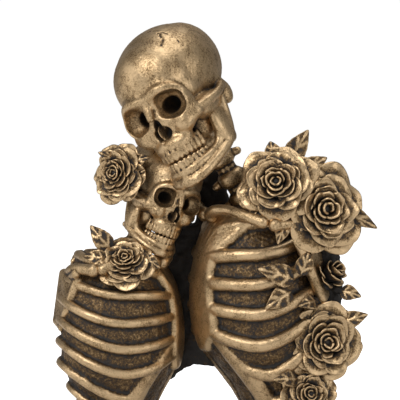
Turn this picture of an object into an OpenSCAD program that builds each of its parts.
// Embracing skeleton couple with roses: two half-length skeleton figures, made in pieces, pinned and glued.
// Millimetres. +Z is up, the couple faces -Y, and the origin is on the ground under the middle of the whole figure.
// Each body is a hollow core that a separate rib cage is laid over. Heads, necks, shoulder bones, roses and
// leaves are pieces of their own, held by steel pins in drilled sockets.

/* [Tall figure] */
// Middle of the tall body on the ground
tall_at = [18, 4]; // [-40:1:40]
// Which way the tall chest faces: 0 is -Y and minus is towards -X
tall_turn = -68; // [-75:1:-55]
// Height of the tall body core
tall_h = 105; // [100:1:110]
// Half width of the tall body core
tall_half_w = 29; // [27:1:31]
// Half depth of the tall body core
tall_half_d = 27; // [25:1:28]
// Middle of the tall head
tall_head_at = [-15, -5, 152]; // [-60:1:180]
// Height of the tall head with its jaw
tall_head_h = 70; // [65:5:75]
// How far the tall head leans towards -X
tall_lean = 30; // [20:5:40]
// How far the tall head turns towards -X
tall_head_turn = 30; // [15:5:45]

/* [Small figure] */
// Middle of the small body on the ground
small_at = [-42.5, 3]; // [-60:0.5:40]
// Which way the small chest faces
small_turn = 58; // [50:1:65]
// How far the small breastbone is twisted round towards the tall figure
small_twist = 20; // [0:5:25]
// Height of the small body core
small_h = 83; // [78:1:88]
// Half width of the small body core
small_half_w = 29; // [27:1:30]
// Half depth of the small body core
small_half_d = 24.5; // [23:0.5:26]
// Middle of the small head
small_head_at = [-25, 5, 110]; // [-60:1:140]
// Height of the small head with its jaw
small_head_h = 50; // [45:5:55]
// How far the small head leans towards -X
small_lean = -20; // [-30:5:-10]
// How far the small head turns towards -X
small_head_turn = -30; // [-45:5:-15]

/* [Bones] */
// Height of a rib's section
rib_w = 4.4; // [3.6:0.1:5]
// Thickness of a rib's section
rib_t = 3.4; // [2.8:0.1:4]
// Pairs of ribs on the tall figure
tall_ribs = 8; // [7:1:8]
// Pairs of ribs on the small figure
small_ribs = 7; // [6:1:7]
// How far apart the tall figure's ribs hang
tall_rib_pitch = 13.2; // [12.5:0.1:13.4]
// How far apart the small figure's ribs hang
small_rib_pitch = 11.4; // [10.8:0.1:11.6]

/* [Base and pins] */
// Wall of the hollow body cores
wall = 5; // [4:0.5:6]
// Thickness of the felt pads
felt_t = 1.5; // [1:0.5:2]
// Thickness of the base plugs
plug_t = 4; // [3:0.5:5]
// Radius of the neck pins
neck_pin_r = 1.5; // [1.2:0.1:1.8]
// Radius of the flower pins
flower_pin_r = 0.8; // [0.6:0.1:1]

/* [Hidden] */

gold = "darkgoldenrod";
shadow = "dimgray";
steel = "silver";
felt = "black";
hole_gap = 0.05; // a pin's clearance in its socket
eps = 0.01;

// Each figure is [place, turn, core height, half width, half depth, rib pairs, rib pitch, how far the foot is set
// back, the angle where the ribs hang lowest, how far the breastbone is twisted round].
TALL = [tall_at, tall_turn, tall_h, tall_half_w, tall_half_d, tall_ribs, tall_rib_pitch, 13, 62, 0];
SMALL = [small_at, small_turn, small_h, small_half_w, small_half_d, small_ribs, small_rib_pitch, 1.5, 56, small_twist];

// Each head is [middle, height, lean, turn].
TALL_HEAD = [tall_head_at, tall_head_h, tall_lean, tall_head_turn];
SMALL_HEAD = [small_head_at, small_head_h, small_lean, small_head_turn];

// The core's section up its height: share of the height against shares of half width, half depth and setback.
WIDTH_BY_HEIGHT = [[0, 0.52], [0.2, 0.65], [0.4, 0.96], [0.6, 1], [0.78, 0.9], [0.92, 0.7], [1, 0.42]];
DEPTH_BY_HEIGHT = [[0, 0.5], [0.2, 0.66], [0.4, 0.98], [0.6, 1], [0.78, 0.95], [0.92, 0.8], [1, 0.5]];
SHOULDER_SETBACK = [[0, 0], [0.6, 0], [0.78, 0.03], [0.92, 0.1], [1, 0.18]];
FOOT_SETBACK = [[0, 1], [0.2, 0.85], [0.4, 0.2], [0.6, 0], [1, 0]];

function mix(a, b, t) = a + (b - a) * t;
function ease(t) = let (u = max(0, min(1, t))) u * u * (3 - 2 * u);
function unit(v) = v / norm(v);

// A point on a core, in the figure's own frame: chest towards -Y, angle 0 at the breastbone and 180 at the spine.
function half_w(fig, z) = fig[3] * lookup(z / fig[2], WIDTH_BY_HEIGHT);
function half_d(fig, z) = fig[4] * lookup(z / fig[2], DEPTH_BY_HEIGHT);
function setback(fig, z) =
    fig[4] * lookup(z / fig[2], SHOULDER_SETBACK) + fig[7] * lookup(z / fig[2], FOOT_SETBACK);
function on_core(fig, angle, z, out) =
    [(half_w(fig, z) + out) * sin(angle), setback(fig, z) - (half_d(fig, z) + out) * cos(angle), z];

module stand(fig) {
    translate([fig[0][0], fig[0][1], 0])
        rotate([0, 0, fig[1]])
            children();
}

// ---- Sweeps

// The faces of an end ring of n points, zigzagging between its two sides.
function cap(n, at) = [for (i = [0 : ceil(n / 2) - 2])
    each concat([[at + i, at + i + 1, at + n - 1 - i]],
        i + 1 < n - 2 - i ? [[at + i + 1, at + n - 2 - i, at + n - 1 - i]] : [])];
function reversed(faces) = [for (f = faces) [f[2], f[1], f[0]]];

// A closed skin over rings of points, each ring running the same way.
module skin(rings) {
    n = len(rings[0]);
    sides = [for (i = [0 : len(rings) - 2], j = [0 : n - 1]) let (a = i * n + j, b = i * n + (j + 1) % n)
        each [[b, a, a + n], [b, a + n, b + n]]];
    faces = concat(cap(n, 0), reversed(cap(n, (len(rings) - 1) * n)), sides);
    polyhedron(points = [for (r = rings) each r], faces = faces, convexity = 6);
}

// A round-ended rod through points, each with its own radius.
module rod(points, radii, sides = 10) {
    for (i = [0 : len(points) - 2])
        hull() {
            translate(points[i]) sphere(r = radii[i], $fn = sides);
            translate(points[i + 1]) sphere(r = radii[i + 1], $fn = sides);
        }
}

module cylinder_between(a, b, r, extra = 0, sides = 24) {
    d = b - a;
    l = norm(d);
    translate(a - extra * d / l)
        rotate([0, acos(d[2] / l), atan2(d[1], d[0])])
            cylinder(r = r, h = l + 2 * extra, $fn = sides);
}

// Turns +Z to a compass angle from +X and an angle above the horizon.
module aim(compass, above) {
    rotate([0, 90 - above, compass])
        children();
}

// ---- Body cores

module core_disc(fig, z, inset) {
    translate([0, setback(fig, z), z])
        resize([2 * (half_w(fig, z) - inset), 2 * (half_d(fig, z) - inset), 0.2])
            cylinder(r = 10, h = 0.2, $fn = 20);
}

module core_body(fig, inset = 0, floor_z = 0, first = 0) {
    for (i = [first : len(WIDTH_BY_HEIGHT) - 2])
        hull()
            for (level = [WIDTH_BY_HEIGHT[i][0], WIDTH_BY_HEIGHT[i + 1][0]])
                core_disc(fig, max(floor_z, min(level * fig[2], fig[2] - inset)), inset);
}

module placed_core(fig, first = 0) {
    stand(fig)
        translate([0, 0, felt_t])
            core_body(fig, first = first);
}

module oval_plate(half_x, half_y, height) {
    linear_extrude(height)
        polygon([for (a = [0 : 7.5 : 352.5]) [half_x * cos(a), half_y * sin(a)]]);
}

// A hollow casting, open underneath until its plug goes in, with drilled sockets for the pins.
module core(fig, line) {
    difference() {
        stand(fig)
            translate([0, 0, felt_t])
                difference() {
                    core_body(fig);
                    core_body(fig, inset = wall, floor_z = plug_t);
                    translate([0, setback(fig, 0), -eps])
                        plug_outline(fig, plug_t + 0.2);
                }
        neck_bore(line);
        flower_sockets();
        web_pins(hole_gap);
    }
}

module plug_outline(fig, height, gap = 0) {
    oval_plate(half_w(fig, 0) - wall / 2 - gap, half_d(fig, 0) - wall / 2 - gap, height);
}

module base_plug(fig) {
    stand(fig)
        translate([0, setback(fig, 0), felt_t])
            plug_outline(fig, plug_t, gap = 0.1);
}

module felt_pad(fig) {
    stand(fig)
        translate([0, setback(fig, 0), 0])
            oval_plate(half_w(fig, 0) - 0.6, half_d(fig, 0) - 0.6, felt_t);
}

// ---- Rib cages

rib_steps = 8;
rib_end = 171; // where a rib meets the spine

// An angle from the breastbone round to the spine, as an angle from the body's own front.
function around(fig, angle, side) = side * angle + fig[9] * (1 - angle / 180);

function rib_low(fig, i) = fig[2] * 0.92 - fig[6] * i;
function rib_on_breastbone(fig, i) = fig[2] * 0.855 - fig[6] * 0.71 * i;
function rib_z(fig, i, angle) =
    let (low = fig[8])
    angle < low
        ? mix(rib_on_breastbone(fig, i), rib_low(fig, i), 1 - pow(1 - angle / low, 1.5))
        : rib_low(fig, i) + min(15, 5 + 2 * i) * ease(1.5 * (angle - low) / (180 - low));

// The gristle that gathers the lower ribs and runs down and back: [angle, share of the height, radius].
MARGIN = [[6, 0.52, 3.8], [16, 0.47, 5], [32, 0.4, 6.2], [42, 0.28, 6.4], [50, 0.17, 5.8], [60, 0.06, 4]];
margin_out = 2.6; // how far it stands out of the core

function margin_z(fig, angle) = fig[2] * lookup(angle, [for (m = MARGIN) [m[0], m[1]]]);

// The first five ribs start on the breastbone and the others where they cross the gristle.
function rib_start(fig, i, angle = 12) =
    i < 5 ? 4 : (angle > 60 || margin_z(fig, angle) < rib_z(fig, i, angle) + 1 ? angle : rib_start(fig, i, angle + 2));

// A rib's section: a flat back lying on the core and a rounded front.
function rib_ring(fig, i, angle, side, swell) =
    let (z = rib_z(fig, i, angle), w = rib_w * swell / 2, t = rib_t * swell)
    [for (c = [[0, t], [-0.72, t * 0.74], [-1, 0.04], [1, 0.04], [0.72, t * 0.74]])
        let (p = on_core(fig, around(fig, angle, side), z + c[0] * w, c[1]))
        [p[0], p[1], p[2] + felt_t]];

module rib(fig, i, side) {
    rings = [for (s = [0 : rib_steps]) let (t = s / rib_steps)
        rib_ring(fig, i, mix(rib_start(fig, i), rib_end, t), side, 1 - 0.25 * t)];
    skin(side > 0 ? rings : [for (r = rings) [for (s = [len(r) - 1 : -1 : 0]) r[s]]]);
}

// Breastbone: a broad top, a narrower body and a pointed tip, as shares of the height with half widths.
BREASTBONE = [[0.93, 5.2], [0.87, 4.6], [0.8, 3.1], [0.72, 2.9], [0.64, 3], [0.56, 3.3], [0.48, 3.4], [0.44, 2.4],
    [0.4, 1.6]];

module breastbone(fig) {
    for (i = [0 : len(BREASTBONE) - 2])
        hull()
            for (b = [BREASTBONE[i], BREASTBONE[i + 1]])
                for (x = [1.4 - b[1], b[1] - 1.4]) {
                    z = b[0] * fig[2];
                    p = on_core(fig, fig[9] + x / half_d(fig, z) * 180 / PI, z, 1);
                    translate([p[0], p[1], p[2] + felt_t])
                        sphere(r = 1.9, $fn = 7);
                }
}

module rib_margin(fig, side) {
    points = [for (m = MARGIN) let (p = on_core(fig, around(fig, m[0], side), m[1] * fig[2], margin_out - m[2]))
        [p[0], p[1], p[2] + felt_t]];
    rod(points, [for (m = MARGIN) m[2]], 7);
}

module rib_cage(fig) {
    difference() {
        stand(fig) {
            breastbone(fig);
            for (side = [-1, 1])
                rib_margin(fig, side);
        }
        placed_core(fig);
    }
    difference() {
        stand(fig)
            for (side = [-1, 1], i = [0 : fig[5] - 1])
                rib(fig, i, side);
        flower_sockets();
    }
}

module spine(fig) {
    count = fig[5] + 1;
    difference() {
        stand(fig)
            for (i = [0 : count - 1]) {
                z = mix(7, fig[2] * 0.93, i / (count - 1));
                back = on_core(fig, 180, z, 0.5)[1];
                translate([0, back, z + felt_t])
                    back_bone(fig[2] / (count - 1));
            }
        placed_core(fig);
    }
}

// One bone of the spine: a drum and the spur that stands out behind it.
module back_bone(pitch) {
    translate([0, 0.6, -0.4 * pitch])
        cylinder(r = 3.5, h = 0.76 * pitch, $fn = 6);
    translate([0, 0.6, -0.6 * pitch])
        cylinder(r = 2.4, h = 1.1 * pitch, $fn = 6);
    hull() {
        translate([0, 2.5, 0.6]) sphere(r = 1.7, $fn = 5);
        translate([0, 5.4, -3]) sphere(r = 1, $fn = 5);
    }
}

// ---- Heads, in millimetres of a life-size skull with the middle of the brain case at the origin

skull_top = 69;
skull_chin = -149;
skull_mid = (skull_top + skull_chin) / 2;
skull_h = skull_top - skull_chin;
skull_base = [0, 12, -60]; // where the neck meets the head

function head_k(head) = head[1] / skull_h;
function turned_z(p, a) = [p[0] * cos(a) - p[1] * sin(a), p[0] * sin(a) + p[1] * cos(a), p[2]];
function turned_y(p, a) = [p[0] * cos(a) + p[2] * sin(a), p[1], p[2] * cos(a) - p[0] * sin(a)];
function head_point(head, p) =
    head[0] + turned_y(turned_z((p - [0, 0, skull_mid]) * head_k(head), -head[3]), -head[2]);

module place_head(head) {
    translate(head[0])
        rotate([0, -head[2], 0])
            rotate([0, 0, -head[3]])
                scale(head_k(head))
                    translate([0, 0, -skull_mid])
                        children();
}

module egg(at, radii, sides) {
    translate(at)
        scale(radii)
            sphere(r = 1, $fn = sides);
}

tooth_count = 7; // on each side of each jaw

function arch_point(t) = [27 * sin(90 * t), mix(-89, -48, 1 - cos(90 * t))];

module tooth_row(z_low, z_high, side) {
    for (i = [0 : tooth_count - 1]) {
        p = arch_point((i + 0.5) / tooth_count);
        hull()
            for (z = [z_low, z_high - 0.5])
                translate([side * p[0], p[1], z])
                    cylinder(r = 4.2, h = 0.5, $fn = 4);
    }
}

// Brow, outer rim of the eye socket, cheekbone and cheek arch: [x, y, z, radius]
BROW_TO_ARCH = [[5, -83, -18, 10], [26, -80, -14, 11], [45, -64, -22, 10], [50, -58, -44, 8], [48, -58, -60, 10],
    [60, -36, -58, 7], [64, -12, -52, 6], [60, 8, -48, 7]];
CHIN_TO_HINGE = [[0, -84, -138, 11], [20, -80, -136, 11], [38, -52, -130, 9], [47, -22, -118, 8],
    [52, -8, -90, 7], [55, 0, -66, 6]];
JAW_FRONT_WING = [[46, -26, -110, 8], [50, -26, -84, 7], [50, -26, -70, 4]];

module side_rod(list, side) {
    rod([for (p = list) [side * p[0], p[1], p[2]]], [for (p = list) p[3]], 6);
}

module upper_jaw() {
    hull() {
        egg([0, -58, -48], [42, 26, 16], 12);
        egg([0, -62, -84], [33, 30, 16], 12);
    }
}

module skull() {
    difference() {
        union() {
            egg([0, 4, 2], [69, 88, 67], 18);
            egg([0, -34, 0], [56, 53, 54], 14);
            upper_jaw();
            for (side = [-1, 1]) {
                side_rod(BROW_TO_ARCH, side);
                egg([side * 50, 20, -52], [12, 15, 20], 7);
                egg([side * 44, -60, -64], [17, 14, 13], 8);
                tooth_row(-108.3, -84, side);
            }
            rod([[0, -80, -20], [0, -94, -46]], [8, 5], 7);
        }
        for (side = [-1, 1]) {
            egg([side * 28, -84, -38], [18, 28, 16.5], 12);
            egg([side * 5.5, -92, -70], [7.5, 20, 11], 10);
        }
        egg([0, -94, -60], [6, 18, 12], 10);
    }
}

module jaw_bones() {
    for (side = [-1, 1]) {
        side_rod(CHIN_TO_HINGE, side);
        side_rod(JAW_FRONT_WING, side);
    }
}

module jaw() {
    jaw_bones();
    for (side = [-1, 1])
        tooth_row(-130, -108.7, side);
}

module tall_skull() {
    difference() {
        place_head(TALL_HEAD) skull();
        neck_bore(tall_neck_line);
        cheek_pin(hole_gap);
    }
}

// The small head carries the seat of the tall head's cheek.
module small_skull() {
    difference() {
        place_head(SMALL_HEAD) skull();
        place_head(TALL_HEAD) {
            egg([0, 4, 2], [69, 88, 67], 16);
            upper_jaw();
            jaw_bones();
        }
        neck_bore(small_neck_line);
        cheek_pin(hole_gap);
        flower_sockets();
    }
}

module cheek_pin(gap = 0) {
    top = head_point(TALL_HEAD, [-28, -30, -60]);
    foot = head_point(SMALL_HEAD, [10, -4, 30]);
    cylinder_between(foot, top, 0.9 + gap);
}

// ---- Necks

neck_forward = 8; // how far in front of the core's top middle a neck stands

function neck_foot(fig) =
    let (back = setback(fig, fig[2]) - neck_forward)
    [fig[0][0] - back * sin(fig[1]), fig[0][1] + back * cos(fig[1]), fig[2] + felt_t - 2];

tall_neck_line = [neck_foot(TALL), head_point(TALL_HEAD, skull_base)];
small_neck_line = [neck_foot(SMALL), head_point(SMALL_HEAD, skull_base)];

neck_pin_down = 12; // how far a pin goes into the body
neck_pin_up = 6; // and into the head

function neck_pin_ends(line) =
    let (dir = unit(line[1] - line[0]))
    [line[0] - neck_pin_down * dir, line[1] + neck_pin_up * dir];

module neck_pin(line) {
    ends = neck_pin_ends(line);
    cylinder_between(ends[0], ends[1], neck_pin_r);
}

module neck_bore(line) {
    ends = neck_pin_ends(line);
    cylinder_between(ends[0], ends[1], neck_pin_r + hole_gap, extra = 0.1);
}

// A casting of several neck bones, with one bore along it.
module neck(line, count, r, fig, head) {
    step = (line[1] - line[0]) / count;
    difference() {
        union() {
            cylinder_between(line[0], line[1], r * 0.72);
            for (i = [0 : count - 1])
                cylinder_between(line[0] + step * (i + 0.1), line[0] + step * (i + 0.84), r);
            for (i = [0 : count - 1])
                translate(line[0] + step * (i + 0.5))
                    rotate([-70, 0, 0])
                        cylinder(r1 = r * 0.4, r2 = r * 0.2, h = r * 1.7, $fn = 8);
        }
        neck_bore(line);
        placed_core(fig, first = 4);
        place_head(head) {
            egg([0, 4, 2], [69, 88, 67], 14);
            for (side = [-1, 1])
                egg([side * 50, 20, -52], [12, 15, 20], 8);
        }
    }
}

// ---- Shoulder bones, in a figure's own frame

module collarbone(fig, side) {
    z = fig[2] * 0.95 + felt_t;
    k = fig[2] / 105;
    difference() {
        stand(fig)
            rod([[side * 4 * k, -half_d(fig, fig[2] * 0.9) - 1, z], [side * 13 * k, -20 * k, z + 3 * k],
                [side * 24 * k, -17 * k, z + 1], [side * 31 * k, -10 * k, z - 2]],
                [3, 2.2, 2.1, 2.8], 7);
        placed_core(fig);
        flower_sockets();
    }
}

module shoulder_blade(fig, side) {
    h = fig[2];
    k = h / 105;
    difference() {
        stand(fig) {
            hull() {
                translate([side * 11 * k, half_d(fig, h * 0.8) + 2 * k, h * 0.86]) sphere(r = 1.6, $fn = 7);
                translate([side * 30.5 * k, 6 * k, h * 0.85]) sphere(r = 2.2, $fn = 7);
                translate([side * 26 * k, 19.5 * k, h * 0.6]) sphere(r = 1.8, $fn = 7);
                translate([side * 13 * k, half_d(fig, h * 0.6) + 0.6, h * 0.66]) sphere(r = 1.5, $fn = 7);
            }
            // The ridge, running out to the shoulder point over the collarbone's end
            rod([[side * 11 * k, half_d(fig, h * 0.8) + 3 * k, h * 0.84], [side * 24 * k, 18 * k, h * 0.9],
                [side * 33 * k, 8 * k, h * 0.93], [side * 33 * k, -5 * k, h * 0.92]], [1.6, 2, 2.3, 2.8], 7);
        }
        placed_core(fig);
    }
}

// ---- Web and bough

web_y = 14;
web_t = 9;
web_pin_heights = [48, 72];

module web_pins(gap = 0) {
    for (z = web_pin_heights)
        cylinder_between([-24, web_y, z], [4, web_y, z], flower_pin_r + gap, sides = 12);
}

// The dark wall behind the embrace. Its lower edge is an arch, and a stub stands up between the necks.
module body_web() {
    difference() {
        union() {
            translate([-24, web_y - web_t / 2, 26])
                cube([36, web_t, 70]);
            translate([-2.5, web_y - web_t / 2, 90])
                cube([9.5, web_t, 22]);
            translate([-3.5, web_y - web_t / 2, 90])
                cube([7.5, web_t, 32]);
        }
        translate([-4.5, web_y, 16])
            rotate([90, 0, 0])
                cylinder(r = 16.5, h = 2 * web_t, center = true, $fn = 64);
        placed_core(TALL);
        placed_core(SMALL);
        web_pins(hole_gap);
    }
}

BOUGH = [[40, -14, 108], [47, -8, 92], [50, -4, 74], [49, -4, 56], [47, -7, 38], [41, -12, 22]];

module rose_bough() {
    difference() {
        rod(BOUGH, [4, 6, 6.5, 6.5, 6, 4], 8);
        placed_core(TALL);
        flower_sockets();
    }
}

// ---- Flowers: each is [middle of the base, compass, angle above the horizon, radius]

HAIR_ROSE = [[-41.5, -6, 119], -120, 8, 11.5];
CHEST_ROSE = [[-39, -17, 80], -95, 38, 11];
SHOULDER_ROSE = [[27, -21, 115], -97, 14, 15];
LARGE_ROSE = [[45, -16, 104], -70, 6, 17.5];
SIDE_ROSE = [[47, -12, 46], -75, 2, 15.5];
LOW_ROSE = [[41, -15, 22], -82, 18, 11.5];
ROSE_BUD = [[46, -9, 73], -40, 26, 10];
ROSES = [HAIR_ROSE, CHEST_ROSE, SHOULDER_ROSE, LARGE_ROSE, SIDE_ROSE, LOW_ROSE, ROSE_BUD];

// Whorls of petals: [petals, lean out in degrees, rim height share, petal half width share, start angle]
WHORLS = [[5, 62, 0.42, 0.54, 3], [4, 44, 0.6, 0.46, 40], [3, 24, 0.7, 0.34, 19]];
BUD_WHORLS = [[4, 16, 1.2, 0.55, 3], [3, 8, 1.45, 0.4, 41]];

module petal(r, lean, rim, half) {
    rotate([0, lean, 0])
        hull() {
            translate([0, 0, 0.12 * r])
                cylinder(r = 0.16 * r, h = 0.14 * r, $fn = 4);
            translate([0.06 * r, 0, r * (rim + 0.16)])
                rotate([0, 90, 0])
                    cylinder(r = half * r, h = 0.1 * r, center = true, $fn = 6);
        }
}

module rose(flower, whorls = WHORLS) {
    r = flower[3];
    difference() {
        translate(flower[0])
            aim(flower[1], flower[2]) {
                for (w = whorls)
                    for (i = [0 : w[0] - 1])
                        rotate([0, 0, w[4] + 360 * i / w[0]])
                            petal(r, w[1], w[2], w[3]);
                translate([0, 0, 0.2 * r])
                    rotate([0, 0, 5])
                        sphere(r = 0.42 * r, $fn = 8);
            }
        flower_pin(flower, hole_gap);
    }
}

module flower_pin(flower, gap = 0) {
    translate(flower[0])
        aim(flower[1], flower[2])
            translate([0, 0, -0.35 * flower[3] - gap])
                cylinder(r = flower_pin_r + gap, h = 0.7 * flower[3] + 2 * gap, $fn = 12);
}

module flower_sockets() {
    for (f = ROSES)
        flower_pin(f, hole_gap);
}

module flower_pins() {
    for (f = ROSES)
        flower_pin(f);
}

// ---- Leaves: each is [stalk, tip, half width, the way its upper side looks]

leaf_t = 0.9;
leaf_fold = 0.3;
LEAF_OUTLINE = [[0, 0.16], [0.15, 0.62], [0.32, 0.96], [0.48, 1], [0.66, 0.8], [0.84, 0.42], [1, 0.06]];

module leaf(from, to, half, look) {
    d = to - from;
    along = unit(d);
    across = unit(cross(d, look));
    lift = cross(across, along);
    skin([for (o = LEAF_OUTLINE) let (
        c = from + d * o[0] + lift * (half * 1.1 * o[0] * (1 - o[0])),
        w = across * half * o[1],
        f = lift * half * leaf_fold * o[1],
        t = lift * leaf_t / 2)
        [c - w + f + t, c + t, c + w + f + t, c + w + f - t, c - t, c - w + f - t]]);
}

module leaves(list) {
    for (l = list)
        leaf(l[0], l[1], l[2], l[3]);
}

HAIR_LEAVES = [[[-42, -6, 124], [-51, -9, 129], 3, [0, -1, 0.3]], [[-37, -8, 124], [-29, -13, 127], 3, [0, -1, 0.2]],
    [[-38, -8, 117], [-31, -14, 121], 2.4, [0, -1, 0]]];
CHEST_LEAVES = [[[-45, -14, 86], [-55, -12, 97], 4, [0, -1, 0]], [[-47, -16, 82], [-58, -14, 84], 3.4, [0, -1, 0.3]],
    [[-31, -18, 83], [-24, -20, 79], 3, [0, -1, 0.3]]];
SHOULDER_LEAVES = [[[31, -15, 124], [41, -13, 139], 4.5, [0, -1, 0]], [[26, -14, 126], [24, -12, 134], 3.6, [0, -1, 0]],
    [[37, -15, 120], [49, -14, 127], 4, [0, -1, 0.2]], [[19, -23, 108], [16, -26, 97], 3, [0, -1, 0]],
    [[53, -14, 105], [71, -16, 96], 4, [0, -1, 0.2]]];
RIB_LEAVES = [[[34, -24, 74], [19, -30, 79.5], 4.8, [0, -1, 0.3]], [[33, -24, 69], [22, -30, 62.5], 4.6, [0, -1, 0.2]],
    [[37, -24, 76], [41, -23, 87], 3.8, [0, -1, 0]], [[30, -25, 99], [27, -28, 90], 3, [0, -1, 0]]];
SIDE_LEAVES = [[[55, -12, 68], [64, -14, 66], 3.4, [0, -1, 0.3]], [[56, -12, 54], [67, -13, 58], 3.6, [0, -1, 0.3]],
    [[44, -16, 64], [37, -24, 63], 3.6, [0, -1, 0.3]]];
LOW_LEAVES = [[[36, -18, 30], [26, -26, 31], 3.6, [0, -1, 0.3]], [[41, -17, 18], [51, -19, 11], 3.8, [0, -1, 0.3]],
    [[34, -18, 20], [27, -23, 11], 3.4, [0, -1, 0.3]]];

// ---- Nodes

color(shadow) core(TALL, tall_neck_line);  // tall_core
color(gold) rib_cage(TALL);  // tall_rib_cage
color(gold) spine(TALL);  // tall_spine
color(gold) neck(tall_neck_line, 5, 5.6, TALL, TALL_HEAD);  // tall_neck
color(gold) tall_skull();
color(gold) place_head(TALL_HEAD) jaw();  // tall_jaw
color(gold) collarbone(TALL, 1);  // tall_left_collarbone
color(gold) collarbone(TALL, -1);  // tall_right_collarbone
color(gold) shoulder_blade(TALL, 1);  // tall_left_shoulder_blade
color(gold) shoulder_blade(TALL, -1);  // tall_right_shoulder_blade
color(shadow) core(SMALL, small_neck_line);  // small_core
color(gold) rib_cage(SMALL);  // small_rib_cage
color(gold) spine(SMALL);  // small_spine
color(gold) neck(small_neck_line, 3, 4.4, SMALL, SMALL_HEAD);  // small_neck
color(gold) small_skull();
color(gold) place_head(SMALL_HEAD) jaw();  // small_jaw
color(gold) collarbone(SMALL, 1);  // small_left_collarbone
color(gold) collarbone(SMALL, -1);  // small_right_collarbone
color(gold) shoulder_blade(SMALL, 1);  // small_left_shoulder_blade
color(gold) shoulder_blade(SMALL, -1);  // small_right_shoulder_blade
color(shadow) body_web();
color(shadow) rose_bough();
color(gold) rose(HAIR_ROSE);  // hair_rose
color(gold) rose(CHEST_ROSE);  // chest_rose
color(gold) rose(SHOULDER_ROSE);  // shoulder_rose
color(gold) rose(LARGE_ROSE);  // large_rose
color(gold) rose(ROSE_BUD, BUD_WHORLS);  // rose_bud
color(gold) rose(SIDE_ROSE);  // side_rose
color(gold) rose(LOW_ROSE);  // low_rose
color(gold) leaves(HAIR_LEAVES);  // hair_leaves
color(gold) leaves(CHEST_LEAVES);  // chest_leaves
color(gold) leaves(SHOULDER_LEAVES);  // shoulder_leaves
color(gold) leaves(RIB_LEAVES);  // rib_leaves
color(gold) leaves(SIDE_LEAVES);  // side_leaves
color(gold) leaves(LOW_LEAVES);  // low_leaves
color(shadow) base_plug(TALL);  // tall_base_plug
color(shadow) base_plug(SMALL);  // small_base_plug
color(felt) felt_pad(TALL);  // tall_felt_pad
color(felt) felt_pad(SMALL);  // small_felt_pad
color(steel) neck_pin(tall_neck_line);  // tall_neck_pin
color(steel) neck_pin(small_neck_line);  // small_neck_pin
color(steel) cheek_pin();
color(steel) web_pins();
color(steel) flower_pins();
